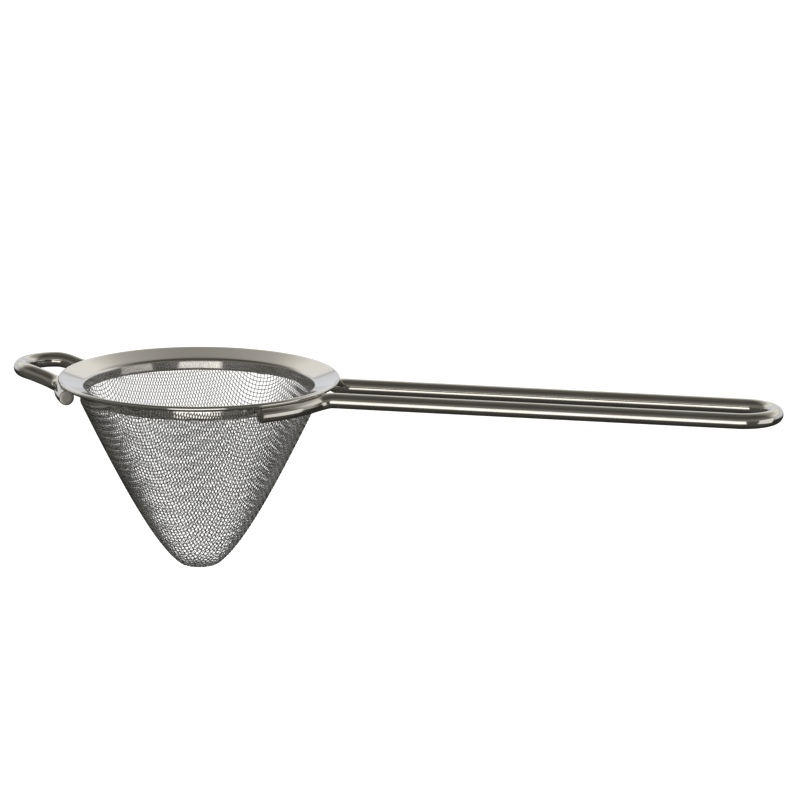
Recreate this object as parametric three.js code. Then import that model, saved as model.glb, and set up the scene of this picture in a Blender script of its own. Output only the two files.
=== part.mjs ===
// Conical tea strainer: a sheet-steel rim, a woven-wire cone, a long wire loop for a
// handle and a short wire loop for a rest hook.
//
// Millimetres, +Z up. The origin is the centre of the rim's top circle, on the cone's axis.
// +X runs along the handle. The hook points to -X, turned a little towards +Y.

import * as THREE from 'three';

// ---------------------------------------------------------------- driving dimensions

const AIR_GAP = 0.2;              // room left between two pieces that are welded together

// Rim: one sheet-steel ring, with a rolled edge outside and a short upright collar inside.
const RIM_OUTER_R = 41;
const RIM_SHEET = 0.5;
const ROLL_R = 0.7;               // radius of the rolled edge's round section
const COLLAR_INNER_R = 33.4;
const FLANGE_LOW_Z = -2.6;        // where the sloping flange meets the collar
const COLLAR_BOTTOM_Z = -5.6;
const CORNER_R = 0.7;             // rounding where flange turns down into collar

// Cone: wire cloth with a small flat tip and a wall drawn to a hyperbola. At height h above the
// tip, r^2 = TIP_FLAT_R^2 (1 - exp(-h / TIP_ROUND)) + TIP_CURVE h + SPREAD h^2.
const CLOTH_THICKNESS = 0.6;      // two crossing wires, 0.3 mm each
const CONE_TIP_Z = -56.55;        // middle of the cloth
const TIP_FLAT_R = 4.51;
const TIP_ROUND = 0.25;
const TIP_CURVE = 14.3;
const SPREAD = 0.185;

// Round wire of the handle and the hook.
const WIRE_R = 2.25;
const WELD_R = 39.9;              // both wires run round under the rolled edge on this radius
const WELD_Z = -(2 * ROLL_R + AIR_GAP + WIRE_R);

const HANDLE = {
  reach: 168.9,                   // axis of the rim to the middle of the wire at the far end
  legY: 9.7,
  bendR: 9,
  endAngle: 50.5,                 // where the cut ends stop, from the handle's own direction
  legZ: -3.1,
  riseFrom: 40.6,                 // between these distances from the axis the wire climbs
  riseTo: 44,                     // from under the rolled edge to the height of its legs
};

const HOOK = {
  reach: 56.6,
  legY: 10.2,
  bendR: 9,
  endAngle: 41.8,
  legZ: -1.4,
  riseFrom: 40.4,
  riseTo: 52,
};
const HOOK_TURN = 169;            // degrees from the handle round to the hook

const AROUND = 64;                // facets round the rim and the cone
const WIRE_SIDES = 12;

// ---------------------------------------------------------------- materials

const satinSteel = new THREE.MeshStandardMaterial({
  name: 'rim_steel', color: 0xb4b2aa, roughness: 0.34, metalness: 1,
});
const clothSteel = new THREE.MeshStandardMaterial({
  name: 'mesh_steel', color: 0xc2c2c0, roughness: 0.4, metalness: 1,
});
const wireSteel = new THREE.MeshStandardMaterial({
  name: 'wire_steel', color: 0xaeaca2, roughness: 0.22, metalness: 1,
});

// ---------------------------------------------------------------- helpers

const degrees = THREE.MathUtils.degToRad;

// Points of an arc in a plane, both ends included, angles in degrees.
function arc(cx, cy, radius, from, to, steps) {
  const points = [];
  for (let i = 0; i <= steps; i += 1) {
    const angle = degrees(from + (to - from) * i / steps);
    points.push(new THREE.Vector2(cx + radius * Math.cos(angle), cy + radius * Math.sin(angle)));
  }
  return points;
}

// A solid of revolution about +Z from a profile of (radius, height) points.
function turned(profile) {
  const geometry = new THREE.LatheGeometry(profile, AROUND);
  geometry.rotateX(Math.PI / 2);
  return geometry;
}

// A path of chosen points whose section keeps one side level, so a wire's underside stays flat.
class LevelPath extends THREE.Curve {
  constructor(points) {
    super();
    this.points = points;
  }

  getPoint(t) {
    const at = t * (this.points.length - 1);
    const low = Math.min(Math.floor(at), this.points.length - 2);
    return this.points[low].clone().lerp(this.points[low + 1], at - low);
  }

  getSpacedPoints() {
    return this.points;
  }

  computeFrenetFrames() {
    const up = new THREE.Vector3(0, 0, 1);
    const last = this.points.length - 1;
    const frames = { tangents: [], normals: [], binormals: [] };
    this.points.forEach((_, i) => {
      const before = this.points[Math.max(i - 1, 0)];
      const after = this.points[Math.min(i + 1, last)];
      const tangent = after.clone().sub(before).normalize();
      const normal = tangent.clone().cross(up).normalize();
      frames.tangents.push(tangent);
      frames.normals.push(normal);
      frames.binormals.push(tangent.clone().cross(normal));
    });
    return frames;
  }
}

// Round wire along a path: a regular polygon with a flat at the bottom.
function wire(points) {
  const half = Math.PI / WIRE_SIDES;
  const radius = WIRE_R / Math.sqrt(Math.cos(half));
  const section = new THREE.Shape();
  for (let i = 0; i < WIRE_SIDES; i += 1) {
    const angle = half + 2 * half * i;
    const x = radius * Math.cos(angle);
    const y = radius * Math.sin(angle);
    if (i === 0) section.moveTo(x, y);
    else section.lineTo(x, y);
  }
  section.closePath();
  return new THREE.ExtrudeGeometry(section, {
    steps: points.length - 1,
    extrudePath: new LevelPath(points),
    bevelEnabled: false,
  });
}

// One half of a wire loop seen from above, from its cut end to the middle of its far end:
// round under the rim's edge, a bend outwards, a straight leg, then a quarter circle.
function loopHalf({ reach, legY, bendR, endAngle }) {
  // The bend leaves the weld circle where legY + bendR (1 - sin a) = WELD_R sin a.
  const leave = Math.asin((legY + bendR) / (WELD_R + bendR));
  const leaveAngle = THREE.MathUtils.radToDeg(leave);
  const bendX = (WELD_R + bendR) * Math.cos(leave);
  const under = arc(0, 0, WELD_R, endAngle, leaveAngle, 6);
  const bend = arc(bendX, legY + bendR, bendR, 180 + leaveAngle, 270, 9).slice(1);
  const legEnd = reach - legY;
  // Only the first 12 mm of a leg climbs, so only that part needs short steps.
  const climb = Math.min(legEnd - bendX, 12);
  const steps = Math.max(1, Math.round(climb / 2));
  const leg = [];
  for (let i = 1; i <= steps; i += 1) {
    leg.push(new THREE.Vector2(bendX + climb * i / steps, legY));
  }
  if (bendX + climb === legEnd) leg.pop();
  const turn = arc(legEnd, 0, legY, 90, 0, 12);
  return [...under, ...bend, ...leg, ...turn];
}

// The whole loop, with its height worked out from the distance to the cone's axis.
function loopPath(spec) {
  const half = loopHalf(spec);
  const mirrored = half.slice(0, -1).reverse().map((p) => new THREE.Vector2(p.x, -p.y));
  return [...half, ...mirrored].map((p) => {
    const lift = THREE.MathUtils.smoothstep(p.length(), spec.riseFrom, spec.riseTo);
    return new THREE.Vector3(p.x, p.y, WELD_Z + (spec.legZ - WELD_Z) * lift);
  });
}

// ---------------------------------------------------------------- pieces

// Rim: collar, rounded corner, sloping flange and rolled edge, all in one sheet.
function rimFlange() {
  const rollX = RIM_OUTER_R - ROLL_R;
  const collarOuterR = COLLAR_INNER_R + RIM_SHEET;
  const slope = Math.atan2(-FLANGE_LOW_Z, rollX - COLLAR_INNER_R);
  const tilt = THREE.MathUtils.radToDeg(slope);
  // The corner's outside (upper, inner) arc and the arc under it share one centre.
  const centreR = collarOuterR + CORNER_R;
  const centreZ = FLANGE_LOW_Z - CORNER_R * 0.8;
  const lower = arc(centreR, centreZ, CORNER_R, 180, 90 + tilt, 4);
  const roll = arc(rollX, -ROLL_R, ROLL_R, -180 + tilt, 90 + tilt, 10);
  const upper = arc(centreR, centreZ, CORNER_R + RIM_SHEET, 90 + tilt, 180, 4);
  const profile = [
    new THREE.Vector2(collarOuterR, COLLAR_BOTTOM_Z),
    ...lower,
    ...roll,
    ...upper,
    new THREE.Vector2(COLLAR_INNER_R, COLLAR_BOTTOM_Z),
    new THREE.Vector2(collarOuterR, COLLAR_BOTTOM_Z),
  ];
  return turned(profile);
}

// Cone of wire cloth, as a thin shell open at the top; its edge stands round the collar.
function meshCone() {
  const half = CLOTH_THICKNESS / 2;
  const standR = COLLAR_INNER_R + RIM_SHEET + AIR_GAP + half;
  const topZ = FLANGE_LOW_Z - RIM_SHEET - AIR_GAP;
  // Height above the tip at which the wall reaches the radius it stands at round the collar.
  const short = standR ** 2 - TIP_FLAT_R ** 2;
  const standH = (-TIP_CURVE + Math.sqrt(TIP_CURVE ** 2 + 4 * SPREAD * short)) / (2 * SPREAD);
  const rings = 16;
  const outer = [];
  const inner = [];
  for (let i = 0; i <= rings; i += 1) {
    const h = standH * (i / rings) ** 2.4;
    const tipLeft = TIP_FLAT_R ** 2 * Math.exp(-h / TIP_ROUND);
    const r = Math.sqrt(TIP_FLAT_R ** 2 - tipLeft + TIP_CURVE * h + SPREAD * h * h);
    // The outward normal runs along (r, -(half the slope of r^2)).
    const slope = tipLeft / TIP_ROUND + TIP_CURVE + 2 * SPREAD * h;
    const normal = new THREE.Vector2(r, -slope / 2).normalize();
    const middle = new THREE.Vector2(r, CONE_TIP_Z + h);
    outer.push(middle.clone().addScaledVector(normal, half));
    inner.push(middle.clone().addScaledVector(normal, -half));
  }
  outer[0].x = 0;
  inner[0].x = 0;
  const profile = [
    ...outer,
    new THREE.Vector2(standR + half, topZ),
    new THREE.Vector2(standR - half, topZ),
    ...inner.reverse(),
  ];
  return turned(profile);
}

function piece(name, geometry, material) {
  const mesh = new THREE.Mesh(geometry, material);
  mesh.name = name;
  return mesh;
}

// ---------------------------------------------------------------- assembly

const strainer = new THREE.Group();
strainer.name = 'tea_strainer';

strainer.add(piece('rim_flange', rimFlange(), satinSteel));
strainer.add(piece('mesh_cone', meshCone(), clothSteel));
strainer.add(piece('handle_loop', wire(loopPath(HANDLE)), wireSteel));

// The hook is drawn along +X like the handle, then turned round to the other side.
const hook = piece('rest_hook', wire(loopPath(HOOK)), wireSteel);
hook.rotation.z = degrees(HOOK_TURN);
strainer.add(hook);

export default strainer;
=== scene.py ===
# %% [markdown]
# # A conical tea strainer in woven wire and bent wire
#
# The strainer is four pieces of stainless steel: a spun sheet rim, a cone of wire cloth, a long
# loop of round wire for a handle, and a short loop of the same wire to hang it by. The packed
# frame holds them as plain solids. Each cell below makes one of them as it is on the bench.

import math

import bpy
import numpy as np
from mathutils import Matrix, Vector


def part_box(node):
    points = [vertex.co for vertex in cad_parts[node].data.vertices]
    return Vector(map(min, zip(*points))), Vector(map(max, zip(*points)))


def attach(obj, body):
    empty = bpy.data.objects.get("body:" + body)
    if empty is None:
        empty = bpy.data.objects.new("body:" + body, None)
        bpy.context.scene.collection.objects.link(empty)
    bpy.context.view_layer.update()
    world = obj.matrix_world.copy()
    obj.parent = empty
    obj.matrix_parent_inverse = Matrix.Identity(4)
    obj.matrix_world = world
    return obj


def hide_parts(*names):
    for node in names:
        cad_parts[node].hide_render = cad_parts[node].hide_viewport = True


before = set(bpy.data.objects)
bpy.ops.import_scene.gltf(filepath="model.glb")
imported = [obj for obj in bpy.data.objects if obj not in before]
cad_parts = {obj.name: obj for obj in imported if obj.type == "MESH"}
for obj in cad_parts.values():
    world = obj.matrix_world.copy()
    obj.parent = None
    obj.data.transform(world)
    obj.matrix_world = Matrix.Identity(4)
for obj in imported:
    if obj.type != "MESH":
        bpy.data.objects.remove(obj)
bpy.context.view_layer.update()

# %% [markdown]
# ## Sizes
#
# Everything is in metres, as the frame is. Overall sizes come from the boxes of the packed
# pieces, so this script follows the frame if it is packed again. The few that a box can't give,
# such as the thickness of the sheet, are the workshop's own figures, written once here.

# %% Sizes from the frame
MM = 0.001
UP = np.array([0.0, 0.0, 1.0])

rim_low, rim_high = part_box("rim_flange")
cone_low, cone_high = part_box("mesh_cone")
handle_low, handle_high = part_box("handle_loop")
hook_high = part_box("rest_hook")[1]

SHEET = 0.5 * MM
ROLL_R = 0.7 * MM
RIM_R = rim_high.x
COLLAR_R = 33.4 * MM
COLLAR_BOTTOM = rim_low.z
FLANGE_LOW = -2.6 * MM
CORNER_R = 0.7 * MM

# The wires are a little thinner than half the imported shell, so that the holes stay open.
CLOTH_WIRE_R = 0.125 * MM
CLOTH_PITCH = 1.18 * MM
CLOTH_HALF = 0.3 * MM
STAND_R = cone_high.x - CLOTH_HALF
CLOTH_TOP = cone_high.z
TIP_Z = cone_low.z + CLOTH_HALF
TIP_FLAT_R = 4.51 * MM
TIP_ROUND = 0.25 * MM
TIP_CURVE = 14.3 * MM
SPREAD = 0.185

WIRE_R = 2.25 * MM
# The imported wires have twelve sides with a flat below, which lies this far from their middle.
WIRE_FLAT = WIRE_R * math.sqrt(math.cos(math.pi / 12))
WELD_R = 39.9 * MM
WELD_Z = handle_low.z + WIRE_FLAT
print(f"rim {2000 * RIM_R:.1f} mm across, cone {-1000 * TIP_Z:.1f} mm deep")
print(f"middle of the wires under the rim: {1000 * WELD_Z:.2f} mm")

# %% [markdown]
# ## Three helpers for surfaces
#
# A mesh is two arrays: where its points are, and which points each face joins. A lathe shape and
# a bent wire are both a grid of points that closes on itself one way, so one helper joins the
# neighbours of a grid into four-sided faces, and the others work out where its points lie.

# %% Helpers: a mesh from arrays, a turned profile, a round section along a path
def put_mesh(name, points, faces, material, node, attributes=()):
    """An object at the origin with its place in its mesh, riding on the root body."""
    mesh = bpy.data.meshes.new(name)
    mesh.from_pydata(points.tolist(), [], faces)
    mesh.polygons.foreach_set("use_smooth", np.ones(len(mesh.polygons), bool))
    for key, values in attributes:
        kind = "FLOAT" if values.ndim == 1 else "FLOAT_VECTOR"
        layer = mesh.attributes.new(key, kind, "POINT")
        layer.data.foreach_set("value" if values.ndim == 1 else "vector", values.ravel())
    mesh.materials.append(material)
    mesh.validate()
    piece = bpy.data.objects.new(name, mesh)
    bpy.context.scene.collection.objects.link(piece)
    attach(piece, "root")
    if node:
        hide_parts(node)
    print(f"{name}: {len(points)} points, {len(mesh.polygons)} faces")
    return piece


def grid_faces(rows, columns, first=0, close_rows=False):
    """Faces between neighbours of a grid stored row by row, whose columns close on themselves.

    Point (i, j) has the number first + i * columns + j, and a face joins it to its neighbour
    along the row, the one beyond that in the next row, and the one above it.
    """
    last = rows if close_rows else rows - 1
    i, j = np.meshgrid(np.arange(last), np.arange(columns), indexing="ij")
    k = (i + 1) % rows
    m = (j + 1) % columns
    corners = (i * columns + j, i * columns + m, k * columns + m, k * columns + j)
    return first + np.stack([c.ravel() for c in corners], axis=1)


def turn(profile, around):
    """Point (i, j) is profile point i swung to angle j: (r cos a, r sin a, z)."""
    angle = np.linspace(0, 2 * np.pi, around, endpoint=False)
    radius = profile[:, 0, None]
    height = np.broadcast_to(profile[:, 1, None], (len(profile), around))
    return np.stack([radius * np.cos(angle), radius * np.sin(angle), height], axis=2)


def arc(centre, radius, start, stop, steps):
    """Centre + radius (cos a, sin a), with a running from start to stop in degrees."""
    angle = np.radians(np.linspace(start, stop, steps + 1))
    return np.asarray(centre) + radius * np.stack([np.cos(angle), np.sin(angle)], axis=1)


def frames_along(path):
    """The direction of travel at each point, from its two neighbours, and the way up beside it."""
    along = np.gradient(path, axis=0)
    along /= np.linalg.norm(along, axis=1, keepdims=True)
    side = np.cross(along, UP)
    side /= np.linalg.norm(side, axis=1, keepdims=True)
    return along, side, np.cross(side, along)


# %% [markdown]
# ## Steel, three ways
#
# Bare steel has no paint to show its shape: what is seen is the room in it. So its finish is
# mostly roughness, and how that varies. The rim was spun on a lathe, so its fine lines run round
# the axis. The thick wire was pulled through a die, so its lines run along it. The cloth's wires
# are too thin to show lines. Their colour wanders a little. It is also painted darker on the side
# that faces out of the cone than on the side that faces in: painted shade outside, painted light
# inside. One grey for both sides would be simpler, but then the near wall and the far wall behind
# it run together.

# %% Node helpers
def node(tree, kind, **values):
    made = tree.nodes.new(kind)
    for key, value in values.items():
        if key in made.inputs:
            made.inputs[key].default_value = value
        else:
            setattr(made, key, value)
    return made


def ramp(tree, source, stops):
    """A colour ramp on a value, with (place, colour) stops."""
    made = tree.nodes.new("ShaderNodeValToRGB")
    made.color_ramp.elements[0].position = stops[0][0]
    made.color_ramp.elements[1].position = stops[-1][0]
    for place, _ in stops[1:-1]:
        made.color_ramp.elements.new(place)
    for element, (_, colour) in zip(made.color_ramp.elements, stops):
        element.color = (*colour, 1)
    tree.links.new(source, made.inputs["Fac"])
    return made.outputs["Color"]


def span(tree, source, low, high):
    """A value from 0 to 1 stretched to run from low to high."""
    made = node(tree, "ShaderNodeMapRange")
    made.inputs["To Min"].default_value = low
    made.inputs["To Max"].default_value = high
    tree.links.new(source, made.inputs["Value"])
    return made.outputs["Result"]


def noise(tree, place, scale, detail=3.0, stretch=None):
    """Noise at a place that may first be stretched along its axes."""
    if stretch:
        mapping = node(tree, "ShaderNodeMapping")
        mapping.inputs["Scale"].default_value = stretch
        tree.links.new(place, mapping.inputs["Vector"])
        place = mapping.outputs["Vector"]
    made = node(tree, "ShaderNodeTexNoise", Scale=scale, Detail=detail)
    tree.links.new(place, made.inputs["Vector"])
    return made.outputs["Fac"]


def bump(tree, height, strength, distance, under=None):
    made = node(tree, "ShaderNodeBump", Strength=strength, Distance=distance)
    tree.links.new(height, made.inputs["Height"])
    if under:
        tree.links.new(under, made.inputs["Normal"])
    return made.outputs["Normal"]


def start_steel(name, anisotropy):
    """A metal with a fixed anisotropy, and its node tree."""
    material = bpy.data.materials.new(name)
    material.use_nodes = True
    tree = material.node_tree
    metal = tree.nodes["Principled BSDF"]
    metal.inputs["Metallic"].default_value = 1.0
    metal.inputs["Anisotropic"].default_value = anisotropy
    return material, tree, metal


# %% Spun sheet: fine rings round the axis, and soft handling marks
def spun_sheet():
    material, tree, metal = start_steel("spun_sheet", 0.0)
    place = node(tree, "ShaderNodeTexCoord").outputs["Object"]
    split = node(tree, "ShaderNodeSeparateXYZ")
    tree.links.new(place, split.inputs[0])
    flat = node(tree, "ShaderNodeCombineXYZ")
    tree.links.new(split.outputs["X"], flat.inputs["X"])
    tree.links.new(split.outputs["Y"], flat.inputs["Y"])
    reach = node(tree, "ShaderNodeVectorMath", operation="LENGTH")
    tree.links.new(flat.outputs[0], reach.inputs[0])
    rings_at = node(tree, "ShaderNodeCombineXYZ")
    tree.links.new(reach.outputs["Value"], rings_at.inputs["X"])
    tree.links.new(split.outputs["Z"], rings_at.inputs["Y"])
    rings = noise(tree, rings_at.outputs[0], 5200, 2.0)
    marks = noise(tree, place, 90, 4.0)
    wander = noise(tree, place, 22, 1.0)
    tree.links.new(
        ramp(tree, wander, [(0.3, (0.60, 0.585, 0.55)), (0.7, (0.69, 0.675, 0.64))]),
        metal.inputs["Base Color"],
    )
    tree.links.new(span(tree, marks, 0.07, 0.13), metal.inputs["Roughness"])
    fine = bump(tree, rings, 0.04, 0.00001)
    tree.links.new(bump(tree, wander, 0.25, 0.0004, fine), metal.inputs["Normal"])
    return material


# %% Drawn wire: scratches along its length, duller where it was cut
def drawn_wire():
    """Reads "run": the distance along the wire, then the two offsets across it.

    "cut" is 1 on a cut end's face, which is rougher and darker than the drawn surface.
    """
    material, tree, metal = start_steel("drawn_wire", 0.0)
    run = node(tree, "ShaderNodeAttribute", attribute_name="run").outputs["Vector"]
    cut = node(tree, "ShaderNodeAttribute", attribute_name="cut").outputs["Fac"]
    lines = noise(tree, run, 2600, 2.0, (0.02, 1, 1))
    wander = noise(tree, run, 60, 2.0)
    drawn = ramp(tree, wander, [(0.3, (0.57, 0.55, 0.50)), (0.7, (0.66, 0.645, 0.60))])
    colour = node(tree, "ShaderNodeMix", data_type="RGBA")
    tree.links.new(cut, colour.inputs["Factor"])
    tree.links.new(drawn, colour.inputs["A"])
    colour.inputs["B"].default_value = (0.36, 0.35, 0.32, 1)
    tree.links.new(colour.outputs["Result"], metal.inputs["Base Color"])
    rough = node(tree, "ShaderNodeMath", operation="MULTIPLY_ADD")
    tree.links.new(cut, rough.inputs[0])
    rough.inputs[1].default_value = 0.3
    tree.links.new(span(tree, lines, 0.07, 0.13), rough.inputs[2])
    tree.links.new(rough.outputs[0], metal.inputs["Roughness"])
    tree.links.new(bump(tree, lines, 0.12, 0.00003), metal.inputs["Normal"])
    return material


# %% Cloth wire: painted light on the inside of the cone, painted shade on the outside
def cloth_wire():
    """Reads "outward": 1 on the side of a wire that faces out of the cone, -1 on the inside.

    The inside is painted near white as painted light. The outside is painted a dark warm grey as
    painted shade.
    """
    material, tree, metal = start_steel("cloth_wire", 0.0)
    place = node(tree, "ShaderNodeTexCoord").outputs["Object"]
    outward = node(tree, "ShaderNodeAttribute", attribute_name="outward").outputs["Fac"]
    wander = noise(tree, place, 120, 3.0)
    # Near white for the side that faces in is painted light; dark grey for the side that faces out
    # is painted shade.
    painted_light_in = ramp(tree, wander, [(0.3, (0.88, 0.88, 0.91)), (0.7, (0.96, 0.96, 0.99))])
    painted_shade_out = ramp(tree, wander, [(0.3, (0.22, 0.22, 0.205)), (0.7, (0.38, 0.375, 0.355))])
    colour = node(tree, "ShaderNodeMix", data_type="RGBA")
    side = node(tree, "ShaderNodeMapRange", interpolation_type="SMOOTHSTEP")
    side.inputs["From Min"].default_value = -0.35
    side.inputs["From Max"].default_value = 0.15
    tree.links.new(outward, side.inputs["Value"])
    tree.links.new(side.outputs["Result"], colour.inputs["Factor"])
    tree.links.new(painted_light_in, colour.inputs["A"])
    tree.links.new(painted_shade_out, colour.inputs["B"])
    tree.links.new(colour.outputs["Result"], metal.inputs["Base Color"])
    tree.links.new(span(tree, wander, 0.12, 0.22), metal.inputs["Roughness"])
    return material


SPUN = spun_sheet()
DRAWN = drawn_wire()
CLOTH = cloth_wire()
print("steels made:", SPUN.name, DRAWN.name, CLOTH.name)

# %% [markdown]
# ## The rim
#
# The rim is one ring of half-millimetre sheet. From the inside it stands up as a short collar,
# turns over a small corner into a sloping flange, and ends rolled under itself in a round edge,
# so that no raw edge meets a finger. Everything about it is the same all the way round, so it
# is a profile and one turn of the lathe. Hand-spun sheet is never quite true, so the flange
# rises and falls by a few hundredths of a millimetre, which is what bends its reflections.

# %% Rim: a closed profile, turned
AROUND_RIM = 320


def rim_profile():
    """Up the collar's outside, out under the flange, round the roll and back over the top.

    The slope is the angle whose tangent is the flange's fall over its width. The corner's two
    arcs share a centre, and so do the roll's. A shallow V where the rolled edge comes back
    against the flange's underside is the gap at its raw end.
    """
    roll_at = (RIM_R - ROLL_R, -ROLL_R)
    slope = math.degrees(math.atan2(-FLANGE_LOW, roll_at[0] - COLLAR_R))
    outer = COLLAR_R + SHEET
    corner_at = (outer + CORNER_R, FLANGE_LOW - 0.8 * CORNER_R)
    foot = 0.12 * MM
    gap = 0.16 * MM
    down = np.array([math.sin(math.radians(slope)), -math.cos(math.radians(slope))])
    lower = arc(corner_at, CORNER_R, 180, 90 + slope, 8)
    roll = arc(roll_at, ROLL_R, slope - 165, 90 + slope, 22)
    upper = arc(corner_at, CORNER_R + SHEET, 90 + slope, 180, 10)
    # The gap's bottom lies just under the sheet, beside the start of the roll.
    notch = roll[0] - gap * down + np.array([-0.05 * MM, 0.0])
    return np.vstack([
        [(outer - foot, COLLAR_BOTTOM), (outer, COLLAR_BOTTOM + foot)],
        lower,
        [notch],
        roll,
        upper,
        [(COLLAR_R, COLLAR_BOTTOM + foot), (COLLAR_R + foot, COLLAR_BOTTOM)],
    ])


def denser(profile, spacing):
    """The same outline with points no further apart than spacing, by straight division."""
    ends = np.roll(profile, -1, axis=0)
    counts = np.ceil(np.linalg.norm(ends - profile, axis=1) / spacing).astype(int)
    start = np.repeat(profile, counts, axis=0)
    way = np.repeat(ends - profile, counts, axis=0)
    step = np.arange(counts.sum()) - np.repeat(np.cumsum(counts) - counts, counts)
    return start + way * (step / np.repeat(counts, counts))[:, None]


def untrue(points):
    """Lifts each point by a few slow waves of its angle, growing from the collar outwards."""
    angle = np.arctan2(points[..., 1], points[..., 0])
    reach = np.hypot(points[..., 0], points[..., 1])
    share = np.clip((reach - COLLAR_R) / (RIM_R - COLLAR_R), 0, 1)
    lift = 0.030 * np.cos(2 * angle + 0.7) + 0.016 * np.cos(5 * angle + 2.1)
    lift += 0.008 * np.cos(9 * angle + 4.0)
    points[..., 2] += MM * lift * share
    return points


rim_grid = untrue(turn(denser(rim_profile(), 1.0 * MM), AROUND_RIM))
rim_rows = len(rim_grid)
rim = put_mesh(
    "spun_rim",
    rim_grid.reshape(-1, 3),
    grid_faces(rim_rows, AROUND_RIM, close_rows=True).tolist(),
    SPUN,
    "rim_flange",
)

# %% [markdown]
# ## The wire cloth
#
# The cone began as a flat disc of plain-woven wire cloth, pressed into a cone. Wires don't
# stretch, so what gives is the angle at which they cross. A net whose links keep their length is
# a Chebyshev net, and it can be laid over a surface one crossing at a time: each new crossing is
# one pitch away from two that are already there, and on the cone. A bump map or a see-through
# picture of mesh would be quicker, but it has no edge at the side of the cone and no far wall
# behind the near one, and those are what the eye reads as wire cloth.
#
# Two wires through the tip stay straight and run up the cone in four directions, where the cloth
# keeps its square holes. Between them the holes are pulled into tall diamonds.

# %% The cloth's middle surface, and the way up it
CLOTH_TURN = math.radians(-18.4)
short = STAND_R**2 - TIP_FLAT_R**2
stand_height = (-TIP_CURVE + math.sqrt(TIP_CURVE**2 + 4 * SPREAD * short)) / (2 * SPREAD)


def radius_squared(h):
    """The wall's radius squared at height h above the tip, and how fast that grows with h.

    It is F^2 (1 - exp(-h / d)) + T h + S h^2: the first part is the small flat tip of radius F,
    rounded off over the height d, and the rest is a hyperbola.
    """
    left = TIP_FLAT_R**2 * np.exp(-h / TIP_ROUND)
    value = TIP_FLAT_R**2 - left + TIP_CURVE * h + SPREAD * h * h
    return value, left / TIP_ROUND + TIP_CURVE + 2 * SPREAD * h


def way_up():
    """Radius, height and distance from the tip up the wall, then straight up the collar."""
    h = stand_height * np.linspace(0, 1, 6000) ** 3
    radius = np.append(np.sqrt(radius_squared(h)[0]), STAND_R)
    height = np.append(TIP_Z + h, CLOTH_TOP + 3 * CLOTH_PITCH)
    distance = np.append(0, np.cumsum(np.hypot(np.diff(radius), np.diff(height))))
    return radius, height, distance


def off_surface(points):
    """x^2 + y^2 less the radius squared at that height, and its slope in x, y and z."""
    x, y, z = np.moveaxis(points, -1, 0)
    h = np.clip(z - TIP_Z, 0, stand_height)
    rising = (z - TIP_Z) < stand_height
    wall, growth = radius_squared(h)
    slope_z = np.where(rising, -growth, 0)
    return x * x + y * y - wall, np.stack([2 * x, 2 * y, slope_z], axis=-1)


way_radius, way_height, way_length = way_up()
print(f"from tip to top along the cloth: {1000 * way_length[-1]:.1f} mm")

# %% Lay one quarter of the net, a diagonal of crossings at a time
LINKS = int(way_length[-1] / CLOTH_PITCH)


def quarter_net():
    """Crossing (i, j) is one pitch from (i-1, j) and from (i, j-1), and on the surface.

    Those are three equations for its three coordinates, solved by Newton's method from the
    corner that completes the parallelogram. All crossings with the same i + j are solved at
    once, since they only need the diagonal before them.
    """
    steps = CLOTH_PITCH * np.arange(LINKS + 1)
    radius = np.interp(steps, way_length, way_radius)
    height = np.interp(steps, way_length, way_height)
    net = np.full((LINKS + 1, LINKS + 1, 3), np.nan)
    net[:, 0] = np.stack([radius, 0 * radius, height], axis=1)
    net[0, :] = np.stack([0 * radius, radius, height], axis=1)
    for diagonal in range(2, 2 * LINKS + 1):
        i = np.arange(max(1, diagonal - LINKS), min(diagonal - 1, LINKS) + 1)
        j = diagonal - i
        before, beside, behind = net[i - 1, j], net[i, j - 1], net[i - 1, j - 1]
        lowest = np.minimum(before[:, 2], beside[:, 2])
        wanted = np.isfinite(before[:, 2] + beside[:, 2]) & (lowest < CLOTH_TOP)
        i, j = i[wanted], j[wanted]
        before, beside, behind = before[wanted], beside[wanted], behind[wanted]
        found = before + beside - behind
        for _ in range(12):
            value, slope = off_surface(found)
            one, two = found - before, found - beside
            misses = np.stack([
                (one * one).sum(1) - CLOTH_PITCH**2,
                (two * two).sum(1) - CLOTH_PITCH**2,
                value,
            ], axis=1)
            slopes = np.stack([2 * one, 2 * two, slope], axis=1)
            found = found - np.linalg.solve(slopes, misses[..., None])[..., 0]
        net[i, j] = found
    return net


def whole_net(quarter):
    """Four quarter turns of the quarter, on a grid that runs from -LINKS to LINKS both ways."""
    full = np.full((2 * LINKS + 1, 2 * LINKS + 1, 3), np.nan)
    i, j = np.meshgrid(np.arange(LINKS + 1), np.arange(LINKS + 1), indexing="ij")
    x, y, z = np.moveaxis(quarter, -1, 0)
    full[LINKS + i, LINKS + j] = np.stack([x, y, z], axis=-1)
    full[LINKS - j, LINKS + i] = np.stack([-y, x, z], axis=-1)
    full[LINKS - i, LINKS - j] = np.stack([-x, -y, z], axis=-1)
    full[LINKS + j, LINKS - i] = np.stack([y, -x, z], axis=-1)
    cos, sin = math.cos(CLOTH_TURN), math.sin(CLOTH_TURN)
    x, y, z = np.moveaxis(full, -1, 0)
    return np.stack([cos * x - sin * y, sin * x + cos * y, z], axis=-1)


net = whole_net(quarter_net())
links = np.linalg.norm(np.diff(net, axis=0), axis=2)
print(f"crossings: {np.isfinite(net[..., 2]).sum()}")
print(f"shortest link {1000 * np.nanmin(links):.3f} mm, longest {1000 * np.nanmax(links):.3f} mm")

# %% [markdown]
# ### Wires over and under
#
# In plain weave each wire goes over one neighbour and under the next, so its height off the
# middle of the cloth is a cosine with one half wave to each pitch, and the crossing wire has the
# opposite sign. The two only just touch when each rises by half a wire's thickness. There are
# thousands of crossings, so a wire has six sides and four rings to a pitch: that is round
# enough at a quarter of a millimetre across.

# %% Carry a small round section along every wire
RINGS = 4
SIDES = 6


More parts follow.
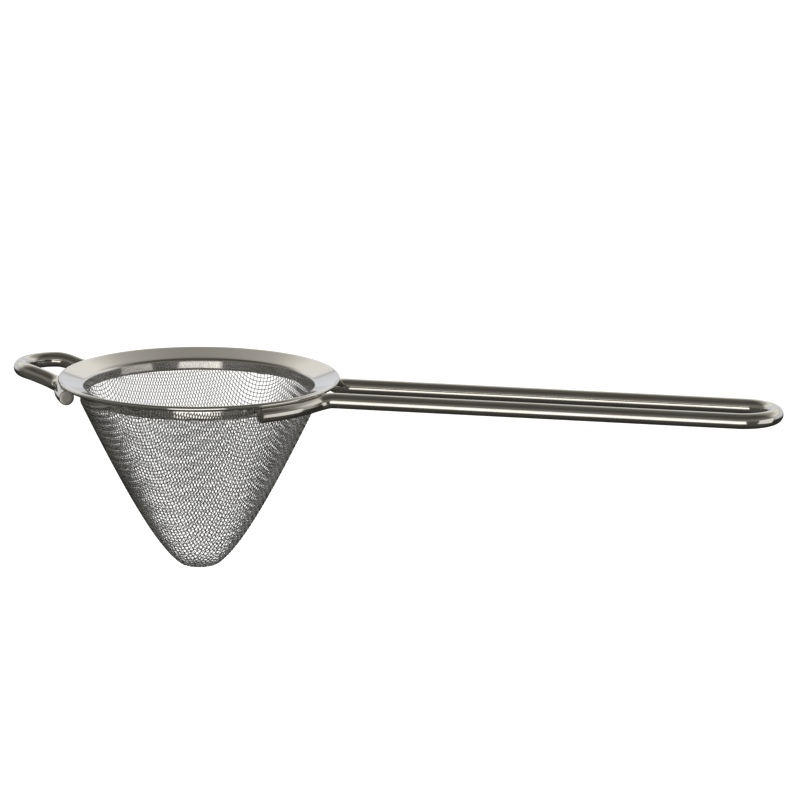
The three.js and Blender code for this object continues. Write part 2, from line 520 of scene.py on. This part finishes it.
def one_wire(knots, number, sign):
    """Points round one wire of the cloth: its middle line, bent over and under, plus a circle.

    The middle line is the straight line between crossings, lifted along the surface's normal by
    the wire's radius times the cosine of half a turn for each crossing passed.
    """
    known = np.flatnonzero(np.isfinite(knots[:, 2]))
    at = np.arange(known[0] * RINGS, known[-1] * RINGS + 1) / RINGS
    line = np.stack([np.interp(at, known, knots[known, axis]) for axis in range(3)], axis=1)
    kept = line[:, 2] <= CLOTH_TOP
    at, line = at[kept], line[kept]
    if len(line) < 2 * RINGS:
        return None
    _, normal = off_surface(line)
    normal /= np.linalg.norm(normal, axis=1, keepdims=True)
    lift = sign * CLOTH_WIRE_R * np.cos(np.pi * (at + number))
    line = line + normal * lift[:, None]
    along = np.gradient(line, axis=0)
    along /= np.linalg.norm(along, axis=1, keepdims=True)
    side = np.cross(along, normal)
    side /= np.linalg.norm(side, axis=1, keepdims=True)
    out = np.cross(side, along)
    turn_by = 2 * np.pi * np.arange(SIDES) / SIDES
    around = side[:, None] * np.cos(turn_by)[:, None] + out[:, None] * np.sin(turn_by)[:, None]
    return line[:, None] + CLOTH_WIRE_R * around


def wire_bundle(name, wires):
    """Many wires in one mesh, each closed at both ends by two four-sided faces."""
    points, faces, first = [], [], 0
    cap = np.array([[0, 3, 2, 1], [0, 5, 4, 3]])
    for rings in wires:
        count = len(rings)
        points.append(rings.reshape(-1, 3))
        faces.append(grid_faces(count, SIDES, first))
        faces.append(first + cap)
        faces.append(first + (count - 1) * SIDES + cap[:, ::-1])
        first += count * SIDES
    outward = np.tile(np.sin(2 * np.pi * np.arange(SIDES) / SIDES), first // SIDES)
    return put_mesh(name, np.vstack(points), np.vstack(faces).tolist(), CLOTH,
                    "mesh_cone", [("outward", outward)])


def lay_wires(way, grid, sign):
    """All the wires that run one way, in four bundles of about the same length."""
    wires = [one_wire(grid[:, n], n, sign) for n in range(grid.shape[1])
             if np.isfinite(grid[:, n, 2]).sum() > 2]
    wires = [w for w in wires if w is not None]
    ends = np.cumsum([len(w) for w in wires])
    bundle = np.minimum(4 * ends // (ends[-1] + 1), 3)
    return [wire_bundle(f"cloth_{way}_{b + 1}", [w for w, k in zip(wires, bundle) if k == b])
            for b in range(4)]


warp = lay_wires("warp", net, 1)
weft = lay_wires("weft", net.transpose(1, 0, 2), -1)

# %% [markdown]
# ## The two bent wires
#
# Handle and hook are the same round wire, cut off square and bent to the same plan: the cut ends
# run round under the rolled edge, where they are welded; a bend turns them outwards; two legs run
# side by side; and a half circle joins them. So one function lays out both, and a circle is
# carried along the line it gives. The hook is shorter, starts higher and is turned a little from
# straight opposite the handle.

# %% The line of a bent wire
def loop_plan(reach, leg_y, bend_r, end_angle):
    """Half a loop seen from above: round the weld circle, a bend, a leg, a quarter circle.

    The bend leaves the weld circle where leg_y + bend_r (1 - sin a) = weld radius times sin a.
    """
    leave = math.asin((leg_y + bend_r) / (WELD_R + bend_r))
    bend_at = ((WELD_R + bend_r) * math.cos(leave), leg_y + bend_r)
    under = arc((0, 0), WELD_R, end_angle, math.degrees(leave), 40)
    bend = arc(bend_at, bend_r, 180 + math.degrees(leave), 270, 24)[1:]
    leg_end = reach - leg_y
    end = arc((leg_end, 0), leg_y, 90, 0, 40)
    legs = np.linspace(bend[-1], end[0], 80)[1:-1]
    return np.vstack([under, bend, legs, end])


def smooth(x, low, high):
    """0 below low, 1 above high, and the cubic 3t^2 - 2t^3 between."""
    t = np.clip((x - low) / (high - low), 0, 1)
    return t * t * (3 - 2 * t)


def evenly(path, spacing):
    """The same line with its points an even distance apart."""
    length = np.append(0, np.cumsum(np.linalg.norm(np.diff(path, axis=0), axis=1)))
    at = np.linspace(0, length[-1], int(length[-1] / spacing) + 1)
    return np.stack([np.interp(at, length, path[:, axis]) for axis in range(3)], axis=1)


def loop_path(reach, leg_y, bend_r, end_angle, leg_z, rise, turned=0):
    """The whole loop, turned about the cone's axis by that many degrees.

    Its height goes from the weld's to the legs' over the rise distances.
    """
    half = loop_plan(reach, leg_y, bend_r, end_angle)
    plan = np.vstack([half, half[-2::-1] * (1, -1)])
    distance = np.hypot(plan[:, 0], plan[:, 1])
    height = WELD_Z + (leg_z - WELD_Z) * smooth(distance, *rise)
    cos, sin = math.cos(math.radians(turned)), math.sin(math.radians(turned))
    x, y = plan.T
    return evenly(np.column_stack([cos * x - sin * y, sin * x + cos * y, height]), 0.35 * MM)


# %% A round section carried along it, with cut ends
WIRE_SIDES = 40


def bent_wire(name, path, node_name):
    """Point (i, j) is path point i plus r (cos a side + sin a up), with r less at a cut end.

    The first rings shrink to leave a small bevel, then close over a flat face to its middle.
    """
    along, side, up = frames_along(path)
    bevel = np.array([0.0, 0.55, 0.90, 0.975, 1.0])
    set_back = MM * np.array([0.0, 0.0, 0.02, 0.09, 0.22])
    radius = np.full(len(path) + 2 * (len(bevel) - 1), WIRE_R)
    extra = len(bevel) - 1
    head = path[0] + along[0] * set_back[:extra, None]
    tail = path[-1] - along[-1] * set_back[:extra, None][::-1]
    line = np.vstack([head, path[0] + along[0] * set_back[extra], path[1:-1],
                      path[-1] - along[-1] * set_back[extra], tail])
    radius[:extra] *= bevel[:extra]
    radius[-extra:] *= bevel[:extra][::-1]
    pick = np.clip(np.arange(len(line)) - extra, 0, len(path) - 1)
    side, up = side[pick], up[pick]
    angle = 2 * np.pi * np.arange(WIRE_SIDES) / WIRE_SIDES
    across = radius[:, None, None] * np.stack([np.cos(angle), np.sin(angle)], axis=1)
    rings = line[:, None] + across[..., :1] * side[:, None] + across[..., 1:] * up[:, None]
    travelled = np.append(0, np.cumsum(np.linalg.norm(np.diff(line, axis=0), axis=1)))
    run = np.concatenate([
        np.broadcast_to(travelled[:, None, None], across[..., :1].shape), across
    ], axis=2)
    cut = np.broadcast_to((radius < 0.93 * WIRE_R)[:, None], run.shape[:2])
    # The two innermost rings have no size, so each is one point and a fan of faces.
    inner = slice(WIRE_SIDES, -WIRE_SIDES)
    points = np.vstack([rings.reshape(-1, 3)[inner], line[:1], line[-1:]])
    run = np.vstack([run.reshape(-1, 3)[inner], [[0, 0, 0]], [[travelled[-1], 0, 0]]])
    cut = np.append(cut.ravel()[inner], [1, 1]).astype(float)
    rows = len(line) - 2
    j = np.arange(WIRE_SIDES)
    k = (j + 1) % WIRE_SIDES
    first, last, base = rows * WIRE_SIDES, rows * WIRE_SIDES + 1, (rows - 1) * WIRE_SIDES
    fan_head = np.column_stack([np.full(WIRE_SIDES, first), k, j])
    fan_tail = np.column_stack([np.full(WIRE_SIDES, last), base + j, base + k])
    faces = grid_faces(rows, WIRE_SIDES).tolist() + fan_head.tolist() + fan_tail.tolist()
    return put_mesh(name, points, faces, DRAWN, node_name,
                    [("run", run), ("cut", cut)])


HOOK_TURN = 169  # degrees round from the handle
LEG_Y = {"handle": 9.7 * MM, "hook": 10.2 * MM}
handle_path = loop_path(
    reach=handle_high.x - WIRE_FLAT,
    leg_y=LEG_Y["handle"],
    bend_r=6 * MM,
    end_angle=math.degrees(math.asin(handle_high.y / (WELD_R + WIRE_FLAT))),
    leg_z=handle_high.z - WIRE_FLAT,
    rise=(38.4 * MM, 43.0 * MM),
)
hook_path = loop_path(
    reach=56.6 * MM,
    leg_y=LEG_Y["hook"],
    bend_r=9 * MM,
    end_angle=41.8,
    leg_z=hook_high.z - WIRE_FLAT,
    rise=(40.0 * MM, 52 * MM),
    turned=HOOK_TURN,
)
handle = bent_wire("handle_wire", handle_path, "handle_loop")
hook = bent_wire("hook_wire", hook_path, "rest_hook")

# %% [markdown]
# ## The studio
#
# Steel shows what is round it, so the light is designed as a surround first and as lamps second.
# Behind the strainer stands a white sheet that ends a little above the horizon, with a soft glow
# over it. The room in front, overhead and below is dim. Three soft boxes light the wires: two in
# front of the handle, low down, and one to the right. They stand near, so what they light
# depends on where a piece is as well as on how it is turned. The pale floor turns up into a wall
# all round, so every direction looks the same to the camera. It is kept out of the steel's
# reflections, as a photographer does with black card on the table.

# %% Floor: a pale disc that curves up into a wall
FLOOR_Z = -0.42
COVE_R = 2.6
COVE_H = 4.5


def pale_cove():
    """A disc, a quarter circle of 0.9 m radius, and a wall, turned about the strainer's axis."""
    bend = 0.9
    flat = np.column_stack([np.linspace(0.02, COVE_R - bend, 6), np.full(6, FLOOR_Z)])
    curve = arc((COVE_R - bend, FLOOR_Z + bend), bend, -90, 0, 16)[1:]
    profile = np.vstack([flat, curve, [(COVE_R, FLOOR_Z + COVE_H)]])
    grid = turn(profile, 64)
    points = np.vstack([grid.reshape(-1, 3), [(0, 0, FLOOR_Z)]])
    faces = grid_faces(len(profile), 64).tolist()
    middle = len(points) - 1
    faces += [[middle, j, (j + 1) % 64] for j in range(64)]
    mesh = bpy.data.meshes.new("pale_floor")
    mesh.from_pydata(points.tolist(), [], faces)
    mesh.polygons.foreach_set("use_smooth", np.ones(len(mesh.polygons), bool))
    cove = bpy.data.objects.new("pale_floor", mesh)
    bpy.context.scene.collection.objects.link(cove)
    paper = bpy.data.materials.new("pale_paper")
    paper.use_nodes = True
    shader = paper.node_tree.nodes["Principled BSDF"]
    shader.inputs["Base Color"].default_value = (0.9, 0.9, 0.9, 1)
    shader.inputs["Roughness"].default_value = 1.0
    shader.inputs["Emission Color"].default_value = (1, 1, 1, 1)
    shader.inputs["Emission Strength"].default_value = 1.0
    mesh.materials.append(paper)
    for ray in ("visible_glossy", "visible_diffuse", "visible_shadow", "visible_transmission"):
        setattr(cove, ray, False)
    return cove


floor = pale_cove()


# %% The surround that the steel reflects
def grey(level, warmth=0.0):
    """A grey of that strength, a little red and short of blue when it is warm."""
    return (level * (1 + 0.35 * warmth), level, level * (1 - warmth))


def surround():
    """Light from each direction: one ramp of elevation for behind and one for in front.

    The ramps run from straight down at 0, through the horizon at 0.5, to straight up at 1, and
    the direction's y says how far it is behind or in front.
    """
    world = bpy.data.worlds.new("soft_surround")
    world.use_nodes = True
    bpy.context.scene.world = world
    tree = world.node_tree
    direction = node(tree, "ShaderNodeTexCoord").outputs["Generated"]
    split = node(tree, "ShaderNodeSeparateXYZ")
    tree.links.new(direction, split.inputs[0])
    rise = node(tree, "ShaderNodeMath", operation="ARCSINE")
    tree.links.new(split.outputs["Z"], rise.inputs[0])
    height = node(tree, "ShaderNodeMapRange")
    height.inputs["From Min"].default_value = -math.pi / 2
    height.inputs["From Max"].default_value = math.pi / 2
    tree.links.new(rise.outputs[0], height.inputs["Value"])

    def at(elevation):
        return 0.5 + elevation / 180

    behind = ramp(tree, height.outputs[0], [
        (at(-80), grey(0.03, 0.1)),
        (at(-12), grey(0.04, 0.1)),
        (at(-4), grey(0.80, -0.06)),
        (at(15.0), grey(0.86, -0.06)),
        (at(16.0), grey(0.25, 0.05)),
        (at(17.2), grey(1.0, 0.03)),
        (at(30), grey(0.98, 0.06)),
        (at(40), grey(0.52, 0.08)),
        (at(54), grey(0.30, 0.10)),
        (at(66), grey(0.20, 0.10)),
        (at(88), grey(0.13, 0.10)),
    ])
    front = ramp(tree, height.outputs[0], [
        (at(-86), grey(0.04, 0.1)),
        (at(-66), grey(0.06, 0.1)),
        (at(-45), grey(0.09, 0.1)),
        (at(-30), grey(0.09, 0.1)),
        (at(-6), grey(0.10, 0.1)),
        (at(10), grey(0.20, 0.09)),
        (at(24), grey(0.24, 0.08)),
        (at(42), grey(0.12, 0.10)),
        (at(62), grey(0.08, 0.10)),
        (at(88), grey(0.13, 0.10)),
    ])
    share = node(tree, "ShaderNodeMapRange", interpolation_type="SMOOTHSTEP")
    share.inputs["From Min"].default_value = 0.05
    share.inputs["From Max"].default_value = 0.55
    tree.links.new(split.outputs["Y"], share.inputs["Value"])
    both = node(tree, "ShaderNodeMix", data_type="RGBA")
    tree.links.new(share.outputs[0], both.inputs["Factor"])
    tree.links.new(front, both.inputs["A"])
    tree.links.new(behind, both.inputs["B"])
    light = tree.nodes["Background"]
    light.inputs["Strength"].default_value = 1.0
    tree.links.new(both.outputs["Result"], light.inputs["Color"])
    return world


surround()


# %% The soft boxes
def soft_box(name, middle, facing, width, height, radiance):
    """An even oblong light with its middle there, turned towards the point it faces.

    A light of power P spread over an area A sends P / (pi A) from each point of its face.
    """
    data = bpy.data.lights.new(name, "AREA")
    data.shape = "RECTANGLE"
    data.size, data.size_y = width, height
    data.energy = radiance * math.pi * width * height
    data.color = (1.0, 0.985, 0.955)
    lamp = bpy.data.objects.new(name, data)
    bpy.context.scene.collection.objects.link(lamp)
    lamp.location = middle
    lamp.rotation_euler = (Vector(facing) - Vector(middle)).to_track_quat("-Z", "Y").to_euler()
    lamp.visible_camera = False
    return lamp


# The brightest strip is narrow and stands in front of the handle only. The wider, weaker one
# round it gives the strip soft borders. The one on the right lights the cut ends by the rim.
LAMP_FACES = (0.12, 0.0, -0.003)
RIGHT_FACES = (0.03, 0.0, -0.003)
soft_box("low_strip", (0.13, -0.50, -0.115), LAMP_FACES, 0.40, 0.22, 0.85)
soft_box("strip_border", (0.13, -0.52, -0.105), LAMP_FACES, 0.46, 0.44, 1.0)
soft_box("right_strip", (0.62, -0.08, -0.09), RIGHT_FACES, 0.42, 0.40, 0.9)

# %% Show the light as it is, with no film curve
bpy.context.scene.view_settings.view_transform = "Standard"

# %% [markdown]
# ## The camera
#
# The strainer is seen nearly from the side and a little from above, through a long lens from a
# metre and a half away, so that near and far parts keep almost the same scale. The camera is
# placed by the direction it looks back along, and then slid sideways until the strainer sits in
# the frame with the handle running off to the right.

# %% Camera
VIEW_AZIMUTH = math.radians(11.601)
VIEW_ELEVATION = math.radians(12.758)
VIEW_ROLL = math.radians(0.308)
VIEW_DISTANCE = 1.5
AIM_RIGHT = 0.05848
AIM_UP = -0.00703
LENS = 231.94
SENSOR = 36.0


def place_camera():
    """Back = (sin a cos e, -cos a cos e, sin e); right is level; up is back crossed with right."""
    back = Vector((
        math.sin(VIEW_AZIMUTH) * math.cos(VIEW_ELEVATION),
        -math.cos(VIEW_AZIMUTH) * math.cos(VIEW_ELEVATION),
        math.sin(VIEW_ELEVATION),
    ))
    level = Vector((math.cos(VIEW_AZIMUTH), math.sin(VIEW_AZIMUTH), 0))
    above = back.cross(level)
    right = math.cos(VIEW_ROLL) * level + math.sin(VIEW_ROLL) * above
    up = -math.sin(VIEW_ROLL) * level + math.cos(VIEW_ROLL) * above
    data = bpy.data.cameras.new("camera")
    data.lens = LENS
    data.sensor_width = SENSOR
    data.clip_start = 0.05
    data.clip_end = 20
    camera = bpy.data.objects.new("camera", data)
    turned = Matrix((right, up, back)).transposed()
    camera.matrix_world = turned.to_4x4()
    camera.location = VIEW_DISTANCE * back + AIM_RIGHT * right + AIM_UP * up
    bpy.context.scene.collection.objects.link(camera)
    bpy.context.scene.camera = camera


place_camera()
